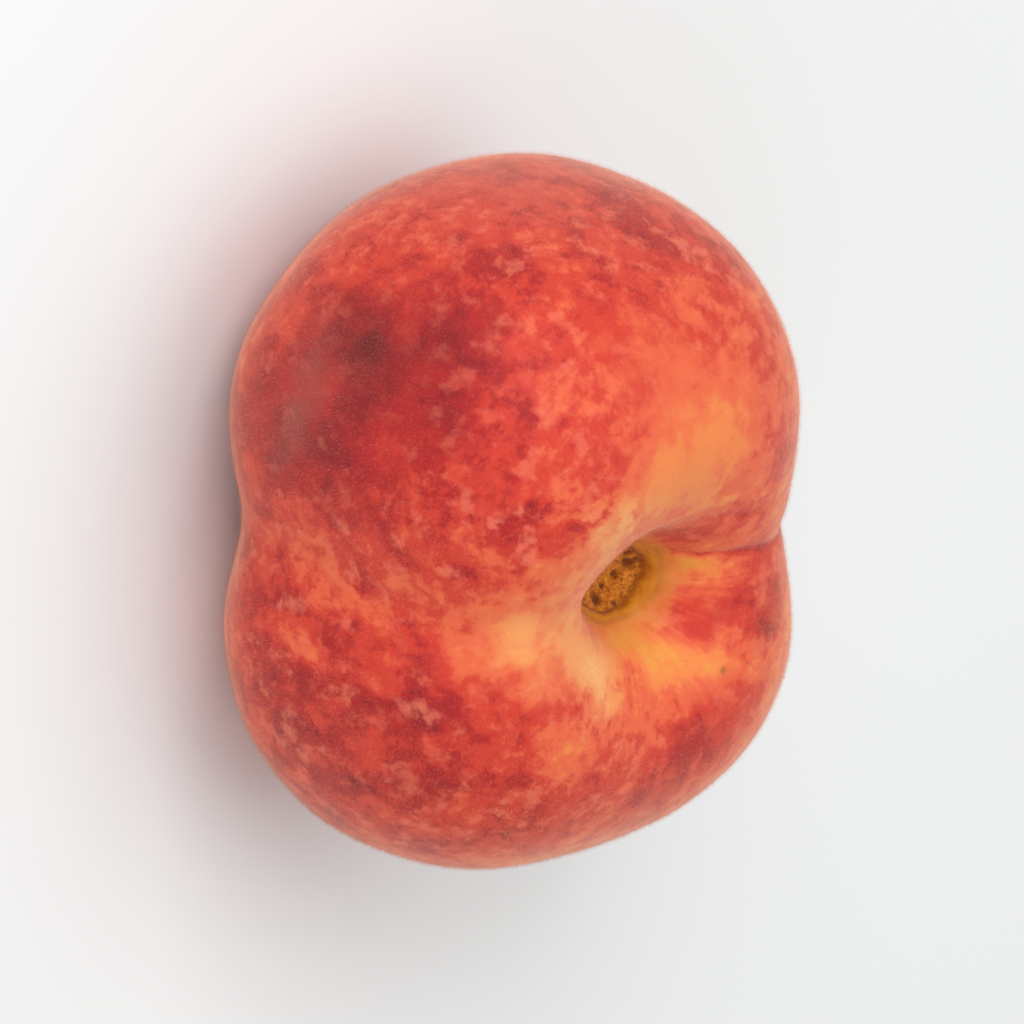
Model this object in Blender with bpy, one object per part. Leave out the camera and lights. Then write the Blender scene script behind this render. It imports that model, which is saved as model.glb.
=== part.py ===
# A flat peach, picked and lying on its blossom end. The stem end is up (+Z), the seam runs along X and
# divides the fruit into two cheeks, the fuller one towards +Y. Lengths are in metres.
import math

import bmesh
import bpy
from mathutils import Euler, Vector

# Driving dimensions of the fruit before the hollows and the seam are pressed into it
FULL_CHEEK = 0.0353  # from the stem's axis out to the fuller cheek
SMALL_CHEEK = 0.0298  # from the stem's axis out to the smaller cheek
FULL_CHEEK_HALF_LENGTH = 0.0267  # along the seam
SMALL_CHEEK_HALF_LENGTH = 0.0291
STEM_HALF_HEIGHT = 0.0248
BLOSSOM_HALF_HEIGHT = 0.0219
PLAN_PLUMPNESS = 2.64  # 2 is an ellipse seen from above, more is boxier
SIDE_PLUMPNESS = 2.44  # the same for its outline from the side
CHEEK_SKEW = 0.0025  # how far the cheeks are shifted against each other along the seam
CHEEK_LIFT = 0.0014  # how much thicker the fuller cheek is at each end, and how much thinner the smaller one

# Hollow at the stem end: a wide funnel with a steep well, where the stem was, nearer to the fuller cheek
FUNNEL_DEPTH = 0.0074
FUNNEL_RADIUS = 0.0110
FUNNEL_MIDDLE = (-0.0031, 0.0005)
WELL_DEPTH = 0.0040
WELL_RADIUS = 0.0060
WELL_MIDDLE = (-0.0018, 0.0020)

# Basin at the blossom end
BASIN_DEPTH = 0.0060
BASIN_RADIUS = 0.0110
TIP_DEPTH = 0.0012
TIP_RADIUS = 0.0022

# Seam: the valley between the cheeks, a shallow side towards -X and a deep side towards +X
SHALLOW_SEAM_DEPTH = 0.0019
SHALLOW_SEAM_WIDTH = 0.0074
DEEP_SEAM_DEPTH = 0.0023
DEEP_SEAM_WIDTH = 0.0112
CREASE_DEPTH = 0.0004  # the sharper line at the bottom of the deep side
CREASE_WIDTH = 0.0022
SEAM_WANDER = (0.0030, 0.0002, 0.0008)  # how far the seam strays from the plane y = 0 on its way round

# Uneven as it is, the fruit leans by these angles about X and Y until it rests on both cheeks, and its own
# weight flattens it a little there
LEAN_DEGREES = (4.7, 0.8)
REST_FLATTENING = 0.0004

# Fineness of the mesh, with rings closer together near the stem hollow and columns near the seam
SEGMENTS = 88
RINGS = 54
RING_CROWDING = 0.24
SEAM_CROWDING = 0.20

SKIN_COLOUR = (0.55, 0.06, 0.035, 1.0)
SKIN_ROUGHNESS = 0.62


def blend(low, high, position, softness):
    """A value that goes smoothly from low to high as position passes zero."""
    share = 0.5 + 0.5 * math.tanh(position / softness)
    return low + (high - low) * share


def bell(distance, width, power=2):
    """1 in the middle of a hollow and 0 well outside it."""
    return math.exp(-((abs(distance) / width) ** power))


def body_point(direction):
    """The plump body without hollows, seen from its middle in this direction."""
    cheek = blend(SMALL_CHEEK, FULL_CHEEK, direction.y, 0.35)
    half_length = blend(SMALL_CHEEK_HALF_LENGTH, FULL_CHEEK_HALF_LENGTH, direction.y, 0.35)
    half_height = blend(BLOSSOM_HALF_HEIGHT, STEM_HALF_HEIGHT, direction.z, 0.25)
    along = abs(direction.x) / half_length
    across = abs(direction.y) / cheek
    up = abs(direction.z) / half_height
    plan = (along**PLAN_PLUMPNESS + across**PLAN_PLUMPNESS) ** (1 / PLAN_PLUMPNESS)
    return direction * (plan**SIDE_PLUMPNESS + up**SIDE_PLUMPNESS) ** (-1 / SIDE_PLUMPNESS)


def press_seam(point, direction):
    """Draws the skin in towards the middle along the seam's plane."""
    depth = blend(SHALLOW_SEAM_DEPTH, DEEP_SEAM_DEPTH, direction.x, 0.2)
    width = blend(SHALLOW_SEAM_WIDTH, DEEP_SEAM_WIDTH, direction.x, 0.2)
    crease = blend(CREASE_DEPTH / 3, CREASE_DEPTH, direction.x, 0.2)
    turn = math.atan2(direction.z, direction.x)
    away = point.y - SEAM_WANDER[0] - SEAM_WANDER[1] * math.cos(turn) - SEAM_WANDER[2] * math.sin(2 * turn)
    return point - direction * (depth * bell(away, width) + crease * bell(away, CREASE_WIDTH))


def press_ends(point, direction):
    """Sinks the stem hollow and the blossom basin."""
    if direction.z > 0:
        in_funnel = math.hypot(point.x - FUNNEL_MIDDLE[0], point.y - FUNNEL_MIDDLE[1])
        in_well = math.hypot(point.x - WELL_MIDDLE[0], point.y - WELL_MIDDLE[1])
        sink = FUNNEL_DEPTH * bell(in_funnel, FUNNEL_RADIUS) + WELL_DEPTH * bell(in_well, WELL_RADIUS, 5)
        return point - Vector((0, 0, sink))
    from_axis = math.hypot(point.x, point.y)
    rise = BASIN_DEPTH * bell(from_axis, BASIN_RADIUS) + TIP_DEPTH * bell(from_axis, TIP_RADIUS, 4)
    return point + Vector((0, 0, rise))


def shift_cheeks(point):
    """Real fruits are uneven: one cheek lies a little back along the seam and is a little thicker."""
    lift = CHEEK_LIFT * math.tanh(point.y / 0.012) * max(-1.0, min(1.0, point.z / 0.015))
    return point + Vector((-CHEEK_SKEW * math.tanh(point.y / 0.014), 0, lift))


def fruit_point(direction):
    point = press_seam(body_point(direction), direction)
    return shift_cheeks(press_ends(point, direction))


def crowd(bm):
    """Slides the vertices of the unit sphere towards the stem end and the seam, where the form is finest."""
    for vert in bm.verts:
        polar = math.acos(max(-1.0, min(1.0, vert.co.z)))
        polar -= RING_CROWDING * math.sin(polar) * (1 + math.cos(polar))
        around = math.atan2(vert.co.y, vert.co.x)
        around -= SEAM_CROWDING * math.sin(2 * around)
        vert.co = Vector(
            (math.sin(polar) * math.cos(around), math.sin(polar) * math.sin(around), math.cos(polar))
        )


def settle(bm):
    """Stands the fruit on z = 0, flattened where it rests, with its outline centred on the origin."""
    lean = Euler([math.radians(angle) for angle in LEAN_DEGREES] + [0.0]).to_matrix()
    for vert in bm.verts:
        vert.co = lean @ vert.co
    lowest = min(vert.co.z for vert in bm.verts)
    middle = [
        (min(vert.co[axis] for vert in bm.verts) + max(vert.co[axis] for vert in bm.verts)) / 2
        for axis in (0, 1)
    ]
    for vert in bm.verts:
        vert.co -= Vector((middle[0], middle[1], lowest + REST_FLATTENING))
        vert.co.z = max(vert.co.z, 0.0)


def skin_material():
    material = bpy.data.materials.new("peach_skin")
    material.use_nodes = True
    shader = material.node_tree.nodes["Principled BSDF"]
    shader.inputs["Base Color"].default_value = SKIN_COLOUR
    shader.inputs["Roughness"].default_value = SKIN_ROUGHNESS
    shader.inputs["Metallic"].default_value = 0.0
    return material


def make_peach(collection):
    bm = bmesh.new()
    bmesh.ops.create_uvsphere(bm, u_segments=SEGMENTS, v_segments=RINGS, radius=1.0)
    crowd(bm)
    for vert in bm.verts:
        vert.co = fruit_point(vert.co.normalized())
    settle(bm)
    bmesh.ops.recalc_face_normals(bm, faces=bm.faces)
    mesh = bpy.data.meshes.new("flat_peach")
    bm.to_mesh(mesh)
    bm.free()
    mesh.shade_smooth()
    mesh.materials.append(skin_material())
    peach = bpy.data.objects.new("flat_peach", mesh)
    collection.objects.link(peach)
    return peach


def main():
    for obj in list(bpy.data.objects):
        bpy.data.objects.remove(obj)
    collection = bpy.data.collections.new("flat_peach")
    bpy.context.scene.collection.children.link(collection)
    make_peach(collection)


main()
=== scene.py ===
# The looks of a flat peach: blushed skin with seam, hollow and stem scar, the fuzz on it, and the studio
import math

import bmesh
import bpy
import numpy as np
from mathutils import Matrix, Vector, noise


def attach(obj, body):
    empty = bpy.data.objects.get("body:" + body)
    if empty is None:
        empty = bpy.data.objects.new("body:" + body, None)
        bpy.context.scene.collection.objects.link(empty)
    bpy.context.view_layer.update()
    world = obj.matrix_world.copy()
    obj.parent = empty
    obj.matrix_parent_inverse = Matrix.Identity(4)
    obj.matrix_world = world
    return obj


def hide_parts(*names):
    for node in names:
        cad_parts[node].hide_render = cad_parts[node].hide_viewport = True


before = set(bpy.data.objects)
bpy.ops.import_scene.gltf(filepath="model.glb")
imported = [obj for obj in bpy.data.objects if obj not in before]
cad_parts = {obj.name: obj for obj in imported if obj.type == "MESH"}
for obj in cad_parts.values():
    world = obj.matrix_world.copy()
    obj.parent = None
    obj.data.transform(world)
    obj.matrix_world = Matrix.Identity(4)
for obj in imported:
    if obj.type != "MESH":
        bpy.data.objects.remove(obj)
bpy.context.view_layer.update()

mm = 0.001


def paint(red, green, blue):
    # a screen colour, 0 to 255, as the linear values that Blender's sockets take
    screen = (red / 255, green / 255, blue / 255)
    return (*(c / 12.92 if c <= 0.04045 else ((c + 0.055) / 1.055) ** 2.4 for c in screen), 1.0)


# Shader nodes as plain sums

class Wire:
    # wraps a socket: + - * / on wires and numbers add Math nodes, and node() adds any other node
    def __init__(self, tree, socket=None):
        self.tree = tree
        self.socket = socket

    def node(self, kind, settings=None, inputs=None, output=0):
        made = self.tree.nodes.new(kind)
        for name, value in (settings or {}).items():
            if name == "stops":
                self.setStops(made.color_ramp, value)
            else:
                setattr(made, name, value)
        for name, value in (inputs or {}).items():
            if isinstance(value, Wire):
                self.tree.links.new(value.socket, made.inputs[name])
            else:
                made.inputs[name].default_value = value
        return Wire(self.tree, made.outputs[output])

    def setStops(self, ramp, stops):
        ramp.interpolation = "EASE"
        while len(ramp.elements) < len(stops):
            ramp.elements.new(1.0)
        for element, (position, colour) in zip(ramp.elements, stops):
            element.position = position
            element.color = colour

    def math(self, operation, first, second=0.0):
        return self.node("ShaderNodeMath", {"operation": operation}, {0: first, 1: second})

    def __add__(self, other):
        return self.math("ADD", self, other)

    def __radd__(self, other):
        return self.math("ADD", other, self)

    def __sub__(self, other):
        return self.math("SUBTRACT", self, other)

    def __rsub__(self, other):
        return self.math("SUBTRACT", other, self)

    def __mul__(self, other):
        return self.math("MULTIPLY", self, other)

    def __rmul__(self, other):
        return self.math("MULTIPLY", other, self)

    def rise(self, low, high):
        # 0 below low, 1 above high, smooth in between
        return self.node(
            "ShaderNodeMapRange",
            {"interpolation_type": "SMOOTHSTEP"},
            {"Value": self, "From Min": low, "From Max": high},
        )

    def grain(self, size, detail=2.0, roughness=0.5, distortion=0.0, shift=0.0):
        # noise on this position, whose spots are about this many millimetres wide
        moved = self.node("ShaderNodeMapping", {}, {"Vector": self, "Location": (shift, shift / 2, -shift)})
        return self.node(
            "ShaderNodeTexNoise",
            {},
            {
                "Vector": moved,
                "Scale": 1 / (2 * size * mm),
                "Detail": detail,
                "Roughness": roughness,
                "Distortion": distortion,
            },
        )

    def mixed(self, factor, first, second):
        return self.node("ShaderNodeMix", {"data_type": "RGBA"}, {0: factor, 6: first, 7: second}, 2)

    def ramp(self, stops):
        # this value's colour, from screen colours at given positions
        painted = [(position, paint(*colour)) for position, colour in stops]
        return self.node("ShaderNodeValToRGB", {"stops": painted}, {"Fac": self}, "Color")

    def read(self, name, output="Fac"):
        return self.node("ShaderNodeAttribute", {"attribute_name": name}, {}, output)


def newMaterial(name):
    material = bpy.data.materials.new(name)
    material.use_nodes = True
    tree = material.node_tree
    return material, Wire(tree), tree.nodes["Principled BSDF"].inputs


# Camera: the stem end points to the right of the picture, and the seam runs across it

view = {
    "toCamera": (-0.7273, 0.3233, 0.6053),
    "pictureUp": (0.2064, 0.9443, -0.2564),
    "distance": 0.9,
    "share": 0.70,  # of the picture's height that the fruit takes
    "sensor": 0.036,
}


def pictureAxes():
    back = Vector(view["toCamera"]).normalized()
    right = Vector(view["pictureUp"]).cross(back).normalized()
    return right, back.cross(right), back


def makeCamera():
    right, up, back = pictureAxes()
    turn = Matrix((right, up, back)).transposed()
    seen = [turn.transposed() @ vert.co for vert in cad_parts["flat_peach"].data.vertices]
    low = Vector(min(point[axis] for point in seen) for axis in range(3))
    high = Vector(max(point[axis] for point in seen) for axis in range(3))
    middle = turn @ ((low + high) / 2)
    data = bpy.data.cameras.new("camera")
    data.sensor_width = view["sensor"] * 1000
    data.lens = data.sensor_width * view["distance"] * view["share"] / (high.y - low.y)
    data.clip_start = 0.05
    data.clip_end = 10.0
    camera = bpy.data.objects.new("camera", data)
    bpy.context.scene.collection.objects.link(camera)
    camera.matrix_world = Matrix.Translation(middle + back * view["distance"]) @ turn.to_4x4()
    bpy.context.scene.camera = camera
    return middle


lookAt = makeCamera()
print("camera placed")


# Skin: the plain surface, finer, with the relief and the colours of a grown skin, plus painted highlight
# and shade along some folds and creases. Places and sizes in mm.

skin = {
    "weld": 0.001,
    "levels": 2,
    "swells": ((15, 0.20), (6.5, 0.07), (2.6, 0.022)),  # width and height of its unevenness
    "restClear": (0.15, 1.5),  # heights over which the unevenness comes in above the floor
    "sunSide": (-0.80, 0.42, -0.10),
    "sunBlush": (0.57, 0.10),  # blush in the middle, and how much the sun side adds
    "middle": (0.0, 0.0, 21.0),
    "wobble": (5.0, 2.2),  # width and reach of the noise that frays every patch
    "fineWobble": (3, 0.35),  # how many times narrower its finer share is, and its reach as a share
    "speckWobble": 0.25,  # how much of that fraying the small specks get
    "mostCalm": 0.85,
    "laneLength": 90,  # streaks are drawn out over this height
    "streaky": 15,  # streaks are strongest within about this distance of the scar
    "underside": 12,  # what lies below this height belongs to the blossom end
    "bald": (0.05, 0.5),  # shares of scar or tip over which the fuzz thins out
    "fuzzStart": (0.5, 1.0),  # heights over which it begins above the floor
}

# where the skin is drawn in a little: where, how wide, how deep
dents = {
    "upper left rim": ((-17.5, 23, 6), 7, 0.6),
    "left waist": ((-22, -3, 4.5), 4.5, 0.7),
    "lower left rim": ((-20, -25, 10), 5, 0.4),
}

# each patch: where, how wide, how much redder (+) or yellower (-)
blushes = {
    "dark shoulder": ((-25.6, 20.4, 22), 6.5, 0.13),
    "dark shoulder, lower": ((-28, 14.3, 17.3), 7, 0.09),
    "crimson flank": ((-27.7, 11, 13.8), 7, 0.04),
    "crimson flank, low": ((-26.6, 14.2, 11.4), 4, 0.12),
    "crimson cheek": ((-27.5, 10, 25), 7, 0.06),
    "crimson cheek, high": ((-23.6, 21, 29), 7.5, 0.12),
    "crimson cheek, top": ((-22.4, 22.6, 30.5), 4.2, 0.02),
    "crimson cheek, lower": ((-25, 16.2, 31.6), 3.2, 0.07),
    "bright shoulder": ((-20, 27.5, 20), 6, -0.08),
    "mid cheek": ((-20, 17.5, 38.5), 5.5, -0.08),
    "upper cheek": ((-13, 28, 33), 6, -0.09),
    "above the seam": ((-26.6, 5.6, 29.4), 4.5, -0.07),
    "orange cheek": ((-11, 23.9, 39.1), 7, 0.03),
    "orange crown": ((-6, 19, 42.2), 8, -0.10),
    "orange crown, outer": ((-1.2, 13.4, 43.6), 9, -0.15),
    "orange above the lip": ((-5, 11.6, 43.6), 5.5, -0.13),
    "pink cheek": ((2.5, 29.9, 31.8), 6, 0.07),
    "pale lip": ((-15.2, 4.6, 40.8), 3.4, -0.24),
    "below the lip": ((-15.2, 0.8, 39.2), 2.6, -0.12),
    "gold behind the lip": ((-11, 8.2, 42.6), 4.4, -0.22),
    "gold behind the hollow": ((-4, 6.5, 41.4), 4.5, -0.12),
    "cream valley": ((-12.5, -4.4, 36.9), 5.4, -0.25),
    "cream valley, left": ((-19.6, -3.7, 36.2), 3.8, -0.19),
    "cream valley, far left": ((-23.2, -3.6, 33.2), 3.2, -0.15),
    "salmon above the valley": ((-20.6, 0.2, 37), 3.6, -0.10),
    "salmon above the valley, left": ((-24, 0, 32), 3.4, -0.07),
    "salmon valley": ((-26.4, -0.6, 25), 4, -0.10),
    "salmon valley, lower": ((-26.8, 0.6, 18), 3.5, -0.09),
    "cream tongue": ((-9.4, -8, 36.8), 2.8, -0.22),
    "cream tongue, end": ((-6.0, -10.4, 37), 2.4, -0.22),
    "gold by the scar": ((4.6, -2.4, 36.8), 2.2, -0.33),
    "gold under the scar": ((-3.2, -7.6, 34.6), 2.6, -0.30),
    "red by the scar": ((4.3, -5.6, 36.5), 2.4, 0.18),
    "gold slope": ((1.2, -8.9, 36.2), 3.5, -0.27),
    "gold slope, outer": ((5.3, -11.7, 38.4), 3.4, -0.25),
    "gold slope, end": ((8.6, -12.6, 39.1), 2.4, -0.12),
    "salmon lower lobe": ((-13.6, -12, 38.1), 7, -0.08),
    "crimson lower lobe": ((-27.4, -12, 18.5), 6, 0.05),
    "crimson lower lobe, middle": ((-25.2, -15.3, 27), 6, 0.09),
    "red by the valley": ((7.6, -6.5, 38.4), 2.9, 0.14),
    "red by the valley, outer": ((12.5, -6.4, 39), 3.4, 0.12),
    "red end of the lower lobe": ((6.2, -16.2, 38.9), 4.4, 0.14),
    "red end, lower": ((3.1, -21.7, 37.6), 5, 0.12),
    "red end, lowest": ((-1, -22.8, 37), 5, 0.15),
    "pale by the blot": ((-27.8, -7.2, 18.2), 2.2, -0.12),
    "left waist": ((-27.8, 4.5, 14), 4, -0.05),
    "yellow underside": ((0, -1.5, 6), 14, -0.26),
    "yellow far end": ((25, 3, 19), 9, -0.12),
    "yellow far valley": ((26, -1, 30), 6, -0.12),
    "red far cheek": ((15, 23, 16), 10, 0.14),
    "red back cheek": ((10, -27, 18), 10, 0.12),
}

# where the ground colour shows as cream rather than gold
creams = {
    "valley": ((-13, -4.4, 36.9), 5.5, 0.45),
    "valley, left": ((-19, -3, 36.6), 4, 0.35),
    "tongue": ((-8.4, -9, 36.9), 3.2, 0.85),
    "lip": ((-13.5, 6.6, 42), 4.5, 0.7),
    "underside": ((0, -1.5, 6), 9, 0.5),
}

# where the mottling is fainter
calms = {
    "orange crown": ((-4, 14, 43.4), 8.5, 0.75),
    "orange cheek": ((-10, 23, 40), 6, 0.45),
    "crimson shoulder": ((-25.3, 20, 24), 7, 0.45),
    "crimson flank": ((-27.8, 9, 19), 6, 0.25),
    "cream valley": ((-14, -4.4, 37), 6, 0.65),
    "cream valley, left": ((-21, -3.6, 35.4), 4, 0.55),
    "upper rim": ((-8, 31.5, 21), 9, 0.4),
    "gold slope": ((3, -9.5, 37.4), 4.5, 0.5),
    "red end of the lower lobe": ((6, -17, 38.8), 4.5, 0.6),
    "red by the scar": ((6.0, -6.0, 37.6), 3.4, 0.5),
    "far side": ((24, 2, 20), 20, 0.4),
}

# dark maroon spots in the red: where, how wide, how strong
dusks = {
    "shoulder": ((-25.4, 21.4, 21.4), 2.5, 0.62),
    "shoulder, above": ((-23.5, 24.2, 20.0), 2.6, 0.22),
    "shoulder, beside": ((-25.4, 19.0, 25.5), 3.2, 0.12),
    "lower end": ((13.4, -8, 39), 2.0, 0.45),
    "back": ((19, 20, 22), 3.0, 0.30),
}

# a thin brownish grey bloom over the red
veils = {
    "shoulder": ((-27.4, 17.2, 18.8), 2.8, 0.46),
    "shoulder, lower": ((-28.0, 13.9, 16.4), 2.6, 0.36),
    "shoulder, rim": ((-28.2, 11.0, 15.6), 2.6, 0.24),
    "shoulder, above": ((-25.2, 21.6, 16.5), 2.6, 0.22),
}

# small corky specks: where, how wide, how strong
specks = {
    "gold slope": ((7.2, -12, 38.9), 0.55, 0.75),
    "end of the lower lobe": ((14.5, -14, 37.6), 0.45, 0.55),
    "upper cheek": ((3.5, 31.4, 28), 0.5, 0.5),
    "far cheek": ((24.6, 12, 26), 0.6, 0.6),
    "far cheek, low": ((22.8, 17, 12.5), 0.45, 0.55),
    "back of the lower lobe": ((17, -23.5, 17), 0.5, 0.5),
    "underneath": ((-9, 12.5, 2.6), 0.6, 0.6),
}

# lines in the skin: points along each, width, depth (raised if negative), how much redder or paler. The
# paler tone on the raised folds is a painted highlight, and the redder tone along the valley line and in
# the furrow is painted shade; on the blots and scratches it is their own colour
lines = {
    # the valley line's redder tone is painted shade along its crease
    "valley line, painted shade": (
        ((2.4, -0.3, 35.8), (4.9, -0.2, 38.3), (8.4, -0.3, 39.2), (13, -1.0, 38.7), (20, -0.8, 34.5),
         (25.5, -0.2, 26), (26.5, 0.6, 17)), 0.55, 0.22, 0.20
    ),
    # the folds' paler tone is a painted highlight on their ridges
    "fold above the valley, painted highlight": (((-4.5, 5.6, 40.6), (-1.0, 6.6, 41.6), (3.0, 6.7, 42.1)), 0.45, -0.10, -0.12),
    "fold further out, painted highlight": (((5.5, 6.0, 41.9), (8.4, 6.1, 41.8), (11.5, 5.7, 41.0)), 0.40, -0.10, -0.14),
    # the furrow's redder tone is painted shade in it
    "furrow under the folds, painted shade": (((0.5, 4.6, 40.8), (4.6, 4.4, 41.0), (8.6, 3.9, 40.7)), 0.50, 0.10, 0.12),
    "pale blot": (((-27.9, -6.4, 16.4), (-27.8, -7.6, 18.2), (-27.7, -7.7, 19.8)), 0.85, -0.03, -0.22),
    "pale blot beside it": (((-27.9, -5.2, 17.2), (-27.8, -5.9, 18.6)), 0.60, -0.02, -0.12),
    "scratch": (((-26.9, 0.9, 19.6), (-26.4, -1.6, 24.6)), 0.22, -0.04, -0.09),
    "scratch beside it": (((-27.0, 0.2, 19.4), (-26.8, -1.7, 22.6)), 0.18, 0.05, 0.08),
    "scratch below": (((-27.0, -0.8, 18.9), (-26.9, -2.6, 22.0)), 0.20, -0.04, -0.08),
}

# where the stem came off: an ochre, fibrous patch with the dark ends of its vessels
scar = {
    "centre": (-1.7, -2.85),
    "reach": (4.5, 4.0),
    "heights": (29.0, 35.6),  # it lies between these
    "floor": 33.0,
    "fray": ((2.4, 0.08), (0.9, 0.03)),  # width and reach of its outline's raggedness
    "edge": 0.14,  # softness of its outline, as a share of its reach
    "halo": (0.9, 0.42),  # where the olive gold beyond it begins, and how far it reaches
    "rim": (0.88, 0.10, 0.18),  # where the corky rim stands, its width, its height
    "groove": (0.77, 0.06, 0.25),
    "dark": ((0.77, 0.05), (1.0, 0.045)),  # dark rings along its groove and outline: where, how wide; partly the scar's own dark edge, partly painted shade in the groove and under the lip
    "band": (0.73, 0.85),  # where the brown fibres give way to the ochre band
    "rough": ((0.9, 0.14), (0.4, 0.07)),  # width and height of its roughness
    "pitFray": (0.7, 0.6),  # width and reach of the pits' raggedness
    "pits": (
        (-2.0, -5.0, 0.62, 0.50), (-1.2, -4.0, 0.36, 0.35), (-0.4, -5.5, 0.30, 0.25),
        (-0.1, -3.0, 0.34, 0.40), (0.9, -2.0, 0.58, 0.50), (0.5, -0.9, 0.34, 0.30),
        (-2.9, -1.2, 0.60, 0.55), (-4.2, -2.6, 0.40, 0.40), (-3.7, -4.4, 0.50, 0.45),
        (-1.5, 0.2, 0.36, 0.30),
    ),  # x, y, radius and depth of each
    "refine": 5.6,  # the mesh is made finer out to here
    "longEdge": 0.14,
}

# the corky point at the blossom end
tip = {
    "near": 8,  # it is the highest point of the underside within this distance of the middle
    "reach": 1.5,
    "edge": 0.2,
    "fray": (0.8, 0.2),
    "bump": (0.7, 0.35),  # width as a share of its reach, and height
    "halo": 6.0,
}


def finerSurface():
    bm = bmesh.new()
    bm.from_mesh(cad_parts["flat_peach"].data)
    bmesh.ops.remove_doubles(bm, verts=bm.verts, dist=skin["weld"] * mm)
    bmesh.ops.join_triangles(
        bm, faces=bm.faces, angle_face_threshold=math.radians(60), angle_shape_threshold=math.radians(80)
    )
    mesh = bpy.data.meshes.new("flat_peach_skin")
    bm.to_mesh(mesh)
    bm.free()
    obj = bpy.data.objects.new("flat_peach_skin", mesh)
    bpy.context.scene.collection.objects.link(obj)
    finer = obj.modifiers.new("finer", "SUBSURF")
    finer.levels = skin["levels"]
    finer.render_levels = skin["levels"]
    applyModifiers(obj)
    return obj


def applyModifiers(obj):
    depsgraph = bpy.context.evaluated_depsgraph_get()
    mesh = bpy.data.meshes.new_from_object(obj.evaluated_get(depsgraph))
    obj.modifiers.clear()
    obj.data = mesh


def refineScar(obj):
    bm = bmesh.new()
    bm.from_mesh(obj.data)
    middle = Vector((*scar["centre"], sum(scar["heights"]) / 2)) * mm
    edges = [
        edge
        for edge in bm.edges
        if edge.calc_length() > scar["longEdge"] * mm
        and all((vert.co - middle).length < scar["refine"] * mm for vert in edge.verts)
    ]
    bmesh.ops.subdivide_edges(bm, edges=edges, cuts=1, use_grid_fill=True)
    bm.to_mesh(obj.data)
    bm.free()


def smooth(low, high, value):
    share = np.clip((value - low) / (high - low), 0, 1)
    return share * share * (3 - 2 * share)


def bell(distance, width):
    return np.exp(-((distance / width) ** 2))


def ripple(points, width, seed):
    # smooth noise from -1 to 1 with bumps of this width, one value for each point
    shift = Vector((seed * 7.3, seed * 3.1, -seed * 5.7))
    return np.array([noise.noise(Vector(point) / width + shift) for point in points])


def ripples(points, sizes, seed, step=1):
    # the sum of such noises, each with a width and a height
    total = 0
    for index, (width, lift) in enumerate(sizes):
        total = total + ripple(points, width, seed + step * index) * lift
    return total


def shake(points, width, seed):
    # such noise in all three directions
    return np.stack([ripple(points, width, seed + axis) for axis in range(3)], axis=1)


def toPolyline(points, corners):
    nearest = np.full(len(points), 1e9)
    for start, end in zip(corners, corners[1:]):
        start = np.array(start, float)
        along = np.array(end, float) - start
        share = np.clip((points - start) @ along / (along @ along), 0, 1)
        nearest = np.minimum(nearest, np.linalg.norm(points - start - share[:, None] * along, axis=1))
    return nearest


def patches(points, places):
    total = np.zeros(len(points))
    for where, width, amount in places.values():
        total += amount * bell(np.linalg.norm(points - np.array(where), axis=1), width)
    return total


def store(mesh, name, values):
    mesh.attributes.new(name, "FLOAT", "POINT").data.foreach_set("value", np.asarray(values, np.float32))


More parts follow.
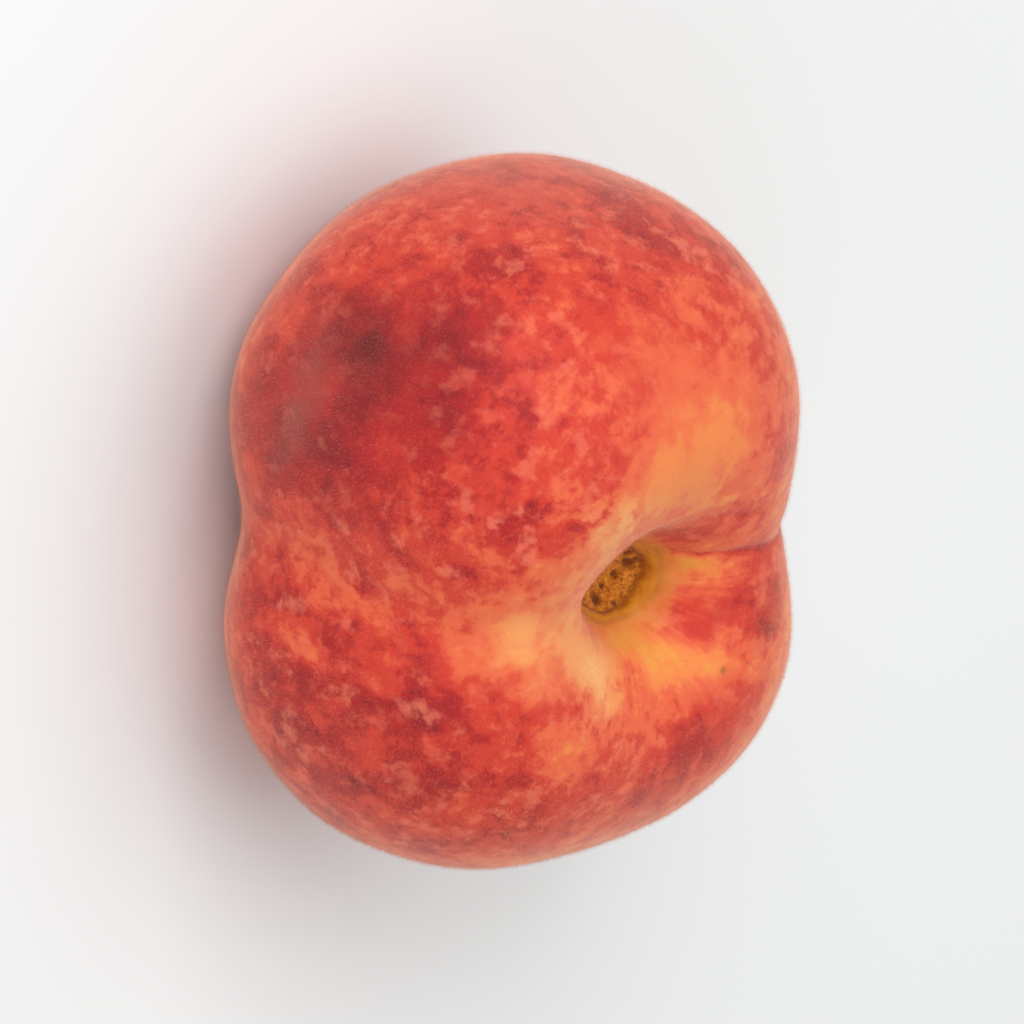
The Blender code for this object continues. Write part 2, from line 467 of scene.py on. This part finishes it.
def growSkin():
    obj = finerSurface()
    refineScar(obj)
    mesh = obj.data
    count = len(mesh.vertices)
    flat = np.empty(count * 3)
    mesh.vertices.foreach_get("co", flat)
    points = flat.reshape(-1, 3) / mm
    normals = np.empty(count * 3)
    mesh.vertex_normals.foreach_get("vector", normals)
    normals = normals.reshape(-1, 3)

    # relief
    height = ripples(points, skin["swells"], 0)
    for corners, width, depth, toneAndPaintedLight in lines.values():
        height -= depth * bell(toPolyline(points, corners), width)
    height -= patches(points, dents)
    clear = smooth(*skin["restClear"], points[:, 2])

    aside = (points[:, :2] - np.array(scar["centre"])) / np.array(scar["reach"])
    outline = np.hypot(aside[:, 0], aside[:, 1]) + ripples(points, scar["fray"], 11, 3)
    bottom, top = scar["heights"]
    inHollow = (points[:, 2] > bottom) & (points[:, 2] < top)
    onScar = np.where(inHollow, 1 - smooth(1 - scar["edge"], 1 + scar["edge"], outline), 0)
    pit = np.zeros(count)
    pitDepth = np.zeros(count)
    width, reach = scar["pitFray"]
    ragged = 1 + reach * ripple(points, width, 12)
    for x, y, radius, depth in scar["pits"]:
        near = bell(np.hypot(points[:, 0] - x, points[:, 1] - y) * ragged, radius)
        pit = np.maximum(pit, near * onScar)
        pitDepth = np.maximum(pitDepth, near * depth * onScar)
    place, width, lift = scar["rim"]
    rim = lift * bell(outline - place, width)
    place, width, depth = scar["groove"]
    groove = depth * bell(outline - place, width)
    rough = ripples(points, scar["rough"], 20)
    scarHeight = np.where(inHollow, rim - groove * onScar + rough * onScar - pitDepth, 0)

    low = points[:, 2] < skin["underside"]
    basin = points[low & (np.hypot(points[:, 0], points[:, 1]) < tip["near"])]
    fromTip = np.linalg.norm(points - basin[np.argmax(basin[:, 2])], axis=1)
    width, reach = tip["fray"]
    tipOutline = fromTip / tip["reach"] * (1 + reach * ripple(points, width, 13))
    onTip = np.where(low, 1 - smooth(1 - tip["edge"], 1 + tip["edge"], tipOutline), 0)
    width, lift = tip["bump"]
    tipHeight = lift * bell(fromTip, tip["reach"] * width) + rough * onTip

    total = (height * clear + scarHeight + tipHeight) * mm
    points = points + normals * total[:, None] / mm
    points[:, 2] = np.maximum(points[:, 2], 0)
    mesh.vertices.foreach_set("co", (points * mm).ravel())

    # colour
    width, reach = skin["wobble"]
    finer, share = skin["fineWobble"]
    frayed = points + reach * shake(points, width, 30)
    frayed += share * reach * shake(points, width / finer, 40)
    outward = points - np.array(skin["middle"])
    outward /= np.linalg.norm(outward, axis=1)[:, None]
    base, sunny = skin["sunBlush"]
    blush = base + sunny * outward @ np.array(skin["sunSide"]) + patches(frayed, blushes)
    # the lines' tones join the blush: painted highlight on the raised folds, painted shade along the valley
    # line and in the furrow
    for corners, width, depth, toneAndPaintedLight in lines.values():
        blush += toneAndPaintedLight * bell(toPolyline(points, corners), width)
    store(mesh, "blush", blush)
    store(mesh, "dusk", np.clip(patches(frayed, dusks), 0, 1))
    store(mesh, "calm", np.clip(patches(frayed, calms), 0, skin["mostCalm"]))
    store(mesh, "veil", np.clip(patches(frayed, veils), 0, 1))
    store(mesh, "speck", np.clip(patches(points + skin["speckWobble"] * (frayed - points), specks), 0, 1))
    store(mesh, "cream", np.clip(patches(frayed, creams), 0, 1))
    store(mesh, "scar", onScar)
    store(mesh, "pit", np.clip(pit, 0, 1))
    store(mesh, "band", np.where(inHollow, smooth(*scar["band"], outline), 0))
    # the scar's dark rings, stored as groove: partly its own dark edge, partly painted shade in its groove
    # and under the lip
    dark = np.max([bell(outline - place, width) for place, width in scar["dark"]], axis=0)
    store(mesh, "groove", np.where(inHollow, dark, 0))
    store(mesh, "tip", onTip)
    place, width = scar["halo"]
    aroundScar = np.where(inHollow, bell(np.maximum(outline - place, 0), width), 0)
    store(mesh, "halo", np.where(low, bell(fromTip, tip["halo"]), aroundScar))

    # lanes run from the stem down over the fruit: streaks follow them
    fromScar = points - np.array((*scar["centre"], scar["floor"]))
    angle = np.arctan2(fromScar[:, 1], fromScar[:, 0])
    lane = np.stack([np.cos(angle), np.sin(angle), points[:, 2] / skin["laneLength"]], axis=1)
    mesh.attributes.new("lane", "FLOAT_VECTOR", "POINT").data.foreach_set("vector", lane.ravel())
    store(mesh, "nearStem", bell(np.linalg.norm(fromScar, axis=1), skin["streaky"]))

    # fuzz grows everywhere but on the scar, the tip and the flat spots
    hairy = 1 - smooth(*skin["bald"], np.maximum(onScar, onTip))
    store(mesh, "fuzz", hairy * smooth(*skin["fuzzStart"], points[:, 2]))
    mesh.shade_smooth()
    mesh.update()
    return obj


# screen colours of the skin and the scar, how strong some of them are at most, and the surface's finish
finish = {
    "ripening": (
        (0.00, (237, 184, 98)), (0.16, (226, 150, 66)), (0.32, (230, 129, 68)), (0.46, (222, 95, 60)),
        (0.60, (202, 57, 42)), (0.75, (170, 33, 33)), (0.90, (136, 24, 31)), (1.00, (98, 19, 26)),
    ),
    "mottle": {"broad": 0.17, "middle": 0.21, "small": 0.12, "spots": 0.11, "flecks": 0.05},
    "streaks": (0.10, 0.26),  # everywhere, and how much more near the stem
    "fleck": (238, 132, 102),
    "cream": (236, 174, 110),
    "veil": (158, 90, 80),
    "dusk": (92, 28, 28),
    "halo": ((216, 152, 62), 0.6),
    "speck": ((150, 92, 42), 0.8),
    "wood": ((0.30, (128, 66, 14)), (0.45, (186, 106, 26)), (0.60, (214, 136, 40)), (0.75, (230, 162, 66))),
    "ochre": ((206, 134, 26), (186, 114, 22)),
    # groove: the colour of the scar's dark rings, partly its own dark edge and partly painted shade
    "groove": (128, 72, 10),
    "pit": ((96, 42, 12), 0.85),
    "roughness": 0.52,
    "bareRoughness": 0.25,  # added on the scar and the tip
    "pores": 0.05,  # their depth in mm
    "specular": 0.22,
    "sheen": {"Weight": 0.68, "Roughness": 0.38, "Tint": paint(255, 211, 184)},
}


def skinMaterial():
    material, wire, shader = newMaterial("peach_skin_blushed")
    place = wire.node("ShaderNodeTexCoord", {}, {}, "Object")
    lane = wire.read("lane", "Vector")
    nearStem = wire.read("nearStem")
    blush = wire.read("blush")

    broad = place.grain(6.5, 3, 0.55, 0.3).rise(0.30, 0.70)
    middle = place.grain(2.2, 4, 0.6, 0.3, 0.13).rise(0.30, 0.70)
    small = place.grain(0.8, 4, 0.65, 0.15, 0.29).rise(0.28, 0.72)
    flecks = place.grain(1.1, 3, 0.6, 0.0, 0.41).rise(0.50, 0.70)
    spots = place.grain(1.0, 3, 0.6, 0.0, 0.57).rise(0.53, 0.72)
    streaks = lane.node(
        "ShaderNodeTexNoise", {}, {"Vector": lane, "Scale": 11.0, "Detail": 3.0, "Roughness": 0.6}
    )
    lively = (1 - blush.rise(0.62, 0.86) * 0.45) * (1 - wire.read("calm"))
    share = finish["mottle"]
    mottle = (broad - 0.5) * share["broad"] + (middle - 0.5) * share["middle"]
    mottle = mottle + (small - 0.5) * share["small"]
    mottle = mottle + spots * share["spots"] - flecks * share["flecks"]
    streaked, nearer = finish["streaks"]
    ripe = blush + mottle * lively + (streaks - 0.5) * (streaked + nearStem * nearer)

    colour = ripe.ramp(finish["ripening"])
    fleck = flecks * lively * ripe.rise(0.34, 0.56) * (0.10 + middle * 0.42)
    colour = wire.mixed(fleck, colour, paint(*finish["fleck"]))
    creamy = wire.read("cream") * (1 - ripe.rise(0.30, 0.58))
    colour = wire.mixed(creamy, colour, paint(*finish["cream"]))
    uneven = 0.7 + middle * 0.5
    for name in ("veil", "dusk"):
        colour = wire.mixed(wire.read(name) * uneven, colour, paint(*finish[name]))
    halo, most = finish["halo"]
    colour = wire.mixed(wire.read("halo") * most, colour, paint(*halo))
    speck, most = finish["speck"]
    colour = wire.mixed(wire.read("speck").rise(0.15, 0.75) * most, colour, paint(*speck))

    # scar: brown fibres with dark pits, inside a smooth band of ochre
    fibres = place.grain(0.28, 3, 0.6, 2.0, 0.7)
    wood = fibres.ramp(finish["wood"])
    lightOchre, darkOchre = finish["ochre"]
    ochre = wire.mixed(small, paint(*lightOchre), paint(*darkOchre))
    wood = wire.mixed(wire.read("band"), wood, ochre)
    # darker along the scar's groove and outline: partly its own dark edge, partly painted shade
    wood = wire.mixed(wire.read("groove") * (0.3 + middle * 0.6), wood, paint(*finish["groove"]))
    pit, most = finish["pit"]
    wood = wire.mixed(wire.read("pit").rise(0.1, 1.0) * most, wood, paint(*pit))
    bare = wire.math("MAXIMUM", wire.read("scar"), wire.read("tip"))
    colour = wire.mixed(bare, colour, wood)

    wire.tree.links.new(colour.socket, shader["Base Color"])
    roughness = finish["roughness"] + (small - 0.5) * 0.16 + bare * finish["bareRoughness"]
    wire.tree.links.new(roughness.socket, shader["Roughness"])
    pores = place.grain(0.22, 2, 0.5, 0.0, 0.9) + place.grain(0.8, 2, 0.5, 0.0, 1.3) * 0.6
    bump = wire.node(
        "ShaderNodeBump", {}, {"Strength": 0.25, "Distance": finish["pores"] * mm, "Height": pores}
    )
    wire.tree.links.new(bump.socket, shader["Normal"])
    shader["Specular IOR Level"].default_value = finish["specular"]
    for name, value in finish["sheen"].items():
        shader["Sheen " + name].default_value = value
    return material


peach = growSkin()
peach.data.materials.clear()
peach.data.materials.append(skinMaterial())
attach(peach, "root")
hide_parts("flat_peach")
print("skin grown:", sum(len(face.vertices) - 2 for face in peach.data.polygons), "triangles")


# Fuzz: short pale hairs, each a slim three-sided cone, in four pieces of slightly different tint

fuzz = {
    "perSquareMm": 3.8,
    "length": 0.42,
    "width": 0.012,
    "sunk": 0.03,
    "tilt": 0.6,  # radians to either side
    "size": (0.6, 1.25),  # smallest and largest, as a share of the length and width above
    "seed": 5,
    "tints": {
        "fuzz_pale": (220, 150, 124),
        "fuzz_rose": (208, 120, 100),
        "fuzz_straw": (218, 148, 108),
        "fuzz_white": (226, 176, 156),
    },
}


def hairNodes(seed):
    tree = bpy.data.node_groups.new("fuzz_growth", "GeometryNodeTree")
    tree.interface.new_socket("Geometry", in_out="INPUT", socket_type="NodeSocketGeometry")
    tree.interface.new_socket("Geometry", in_out="OUTPUT", socket_type="NodeSocketGeometry")
    wire = Wire(tree)
    surface = wire.node("NodeGroupInput")
    where = wire.node(
        "GeometryNodeInputNamedAttribute", {"data_type": "FLOAT"}, {"Name": "fuzz"}, "Attribute"
    )
    points = wire.node(
        "GeometryNodeDistributePointsOnFaces",
        {"distribute_method": "RANDOM"},
        {"Mesh": surface, "Density": where * (fuzz["perSquareMm"] / mm**2), "Seed": seed},
        "Points",
    )
    upright = Wire(tree, points.socket.node.outputs["Rotation"])
    lean = wire.node(
        "FunctionNodeRandomValue",
        {"data_type": "FLOAT_VECTOR"},
        {0: (-fuzz["tilt"], -fuzz["tilt"], 0), 1: (fuzz["tilt"], fuzz["tilt"], math.tau), "Seed": seed},
    )
    turned = wire.node(
        "FunctionNodeRotateRotation",
        {"rotation_space": "LOCAL"},
        {"Rotation": upright, "Rotate By": wire.node("FunctionNodeEulerToRotation", {}, {"Euler": lean})},
    )
    hair = wire.node(
        "GeometryNodeMeshCone",
        {"fill_type": "NGON"},
        {
            "Vertices": 3,
            "Side Segments": 1,
            "Radius Top": 0.0,
            "Radius Bottom": fuzz["width"] * mm / 2,
            "Depth": fuzz["length"] * mm,
        },
        "Mesh",
    )
    rooted = wire.node(
        "GeometryNodeTransform", {}, {"Geometry": hair, "Translation": (0, 0, -fuzz["sunk"] * mm)}
    )
    low, high = fuzz["size"]
    size = wire.node(
        "FunctionNodeRandomValue", {"data_type": "FLOAT"}, {2: low, 3: high, "Seed": seed + 1}, 1
    )
    grown = wire.node(
        "GeometryNodeInstanceOnPoints",
        {},
        {"Points": points, "Instance": rooted, "Rotation": turned, "Scale": size},
    )
    real = wire.node("GeometryNodeRealizeInstances", {}, {"Geometry": grown})
    tree.links.new(real.socket, tree.nodes.new("NodeGroupOutput").inputs["Geometry"])
    return tree


def growFuzz():
    for index, (name, tint) in enumerate(fuzz["tints"].items()):
        obj = bpy.data.objects.new(name, peach.data)
        bpy.context.scene.collection.objects.link(obj)
        growth = obj.modifiers.new("growth", "NODES")
        growth.node_group = hairNodes(fuzz["seed"] + 10 * index)
        applyModifiers(obj)
        material, wire, shader = newMaterial(name)
        shader["Base Color"].default_value = paint(*tint)
        shader["Roughness"].default_value = 0.6
        shader["Specular IOR Level"].default_value = 0.3
        obj.data.materials.clear()
        obj.data.materials.append(material)
        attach(obj, "root")
        print(name, len(obj.data.polygons) // 4, "hairs")


growFuzz()


# Studio: a pale floor that fills the picture, three broad soft lights and a pale room

studio = {
    "floorRadius": 2.0,
    "floor": (232, 235, 235),
    "room": (1.0, 0.99, 0.98),
    "roomStrength": 0.55,
    "lights": {
        "key": {"from": (-0.44, 0.70, 0.57), "distance": 0.9, "size": 0.7, "power": 4.5},
        "top": {"from": (0.20, 0.18, 0.96), "distance": 0.9, "size": 0.9, "power": 2.5},
        "fill": {"from": (-0.82, -0.32, 0.48), "distance": 0.9, "size": 0.6, "power": 1.2},
    },
}


def makeFloor():
    bm = bmesh.new()
    bmesh.ops.create_circle(bm, cap_ends=True, segments=96, radius=studio["floorRadius"])
    mesh = bpy.data.meshes.new("floor")
    bm.to_mesh(mesh)
    bm.free()
    floor = bpy.data.objects.new("floor", mesh)
    bpy.context.scene.collection.objects.link(floor)
    material, wire, shader = newMaterial("floor")
    shader["Base Color"].default_value = paint(*studio["floor"])
    shader["Roughness"].default_value = 0.9
    shader["Specular IOR Level"].default_value = 0.1
    mesh.materials.append(material)


def makeLights():
    for name, lamp in studio["lights"].items():
        data = bpy.data.lights.new(name, "AREA")
        data.shape = "DISK"
        data.size = lamp["size"]
        data.energy = lamp["power"]
        light = bpy.data.objects.new(name, data)
        bpy.context.scene.collection.objects.link(light)
        toward = Vector(lamp["from"]).normalized()
        light.location = lookAt + toward * lamp["distance"]
        light.rotation_mode = "QUATERNION"
        light.rotation_quaternion = toward.to_track_quat("Z", "Y")
    world = bpy.data.worlds.new("room")
    world.use_nodes = True
    room = world.node_tree.nodes["Background"].inputs
    room["Color"].default_value = (*studio["room"], 1.0)
    room["Strength"].default_value = studio["roomStrength"]
    bpy.context.scene.world = world


makeFloor()
makeLights()
bpy.context.scene.view_settings.view_transform = "Standard"
print("studio lit")
